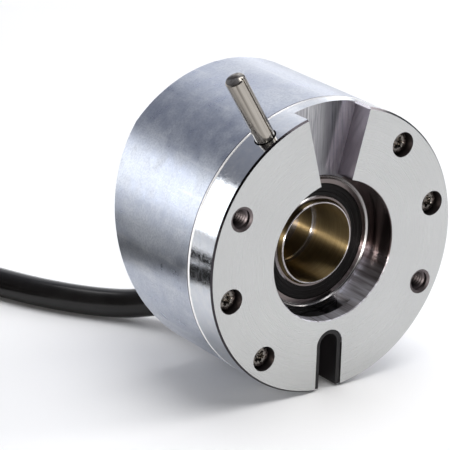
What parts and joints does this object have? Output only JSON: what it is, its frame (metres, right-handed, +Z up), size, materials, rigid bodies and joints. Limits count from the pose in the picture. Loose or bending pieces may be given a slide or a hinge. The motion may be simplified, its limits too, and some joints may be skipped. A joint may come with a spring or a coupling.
{
  "type": "rotary encoder",
  "caption": "Hollow-shaft rotary encoder: round aluminium body on ball bearings, recessed flange with torque slot, wedge notch and radial pin, sloped back with cable outlet, coiled cable and round plug.",
  "frame": {"origin": "centre of the flange's mounting face, on the shaft axis", "axes": "-Y out of the mounting face along the shaft axis, +Y to the back of the housing, +Z up to the wedge notch, +X to the right seen from the front"},
  "size_m": [0.1437, 0.1288, 0.0672],
  "materials": {
    "turned_aluminium": "fine turned",
    "housing_aluminium": "raw, cloudy",
    "inner_aluminium": "machined",
    "pin_steel": "ground",
    "screw_steel": "blackened",
    "shaft_steel": "turned, straw tint",
    "bearing_steel": "ground",
    "spring_steel": "oiled",
    "cage_plastic": "moulded",
    "black_rubber": "smooth",
    "black_plastic": "moulded",
    "disc_glass": "polished",
    "circuit_board": "solder resist",
    "cream_plastic": "moulded",
    "lead_plastic": "smooth",
    "spacer_brass": "machined",
    "nickel": "plated",
    "contact_gold": "plated",
    "cable_jacket": "semi-gloss",
    "tie_nylon": "moulded"
  },
  "bodies": {
    "stator": {"flange": "turned_aluminium", "slot_liner": "black_plastic", "torque_pin": "pin_steel", "flange_screws": "screw_steel", "housing": "housing_aluminium", "housing_o_ring": "black_rubber", "bearing_carrier": "inner_aluminium", "front_outer_ring": "bearing_steel", "front_seal": "black_rubber", "rear_outer_ring": "bearing_steel", "rear_seal": "black_rubber", "outer_spacer": "inner_aluminium", "preload_spring": "spring_steel", "bearing_circlip": "spring_steel", "light_source": "black_plastic", "sensor_chip": "black_plastic", "main_board": "circuit_board", "board_spacers": "spacer_brass", "board_screws": "nickel", "board_components": "black_plastic", "board_connector": "cream_plastic", "inner_leads": "lead_plastic", "access_plug": "inner_aluminium", "access_plug_o_ring": "black_rubber", "cable_gland": "black_plastic", "gland_nut": "nickel", "cable": "cable_jacket", "cable_coil": "cable_jacket", "cable_tie": "tie_nylon", "cable_tail": "cable_jacket", "plug_shell": "black_plastic", "plug_insert": "black_plastic", "plug_pins": "contact_gold"},
    "rotor": {"hollow_shaft": "shaft_steel", "front_inner_ring": "bearing_steel", "rear_inner_ring": "bearing_steel", "disc_hub": "inner_aluminium", "code_disc": "disc_glass", "disc_clamp_ring": "inner_aluminium"},
    "front_ball_set": {"front_balls": "bearing_steel", "front_cage": "cage_plastic"},
    "rear_ball_set": {"rear_balls": "bearing_steel", "rear_cage": "cage_plastic"},
    "coupling_ring": {"plug_nut": "nickel"}
  },
  "joints": [
    {"name": "shaft_spin", "type": "hinge", "parent": "stator", "child": "rotor", "pos_m": [0, 0, 0], "axis": [0, 1, 0], "continuous": true},
    {"name": "front_cage_spin", "type": "hinge", "parent": "stator", "child": "front_ball_set", "pos_m": [0, 0, 0], "axis": [0, 1, 0], "continuous": true},
    {"name": "rear_cage_spin", "type": "hinge", "parent": "stator", "child": "rear_ball_set", "pos_m": [0, 0, 0], "axis": [0, 1, 0], "continuous": true},
    {"name": "plug_nut_spin", "type": "hinge", "parent": "stator", "child": "coupling_ring", "pos_m": [-0.1026, 0.01, -0.0215], "axis": [0, -1, 0], "continuous": true}
  ],
  "couplings": [
    {"joint": "front_cage_spin", "follows": "shaft_spin", "ratio": 0.44419},
    {"joint": "rear_cage_spin", "follows": "shaft_spin", "ratio": 0.44419}
  ]
}
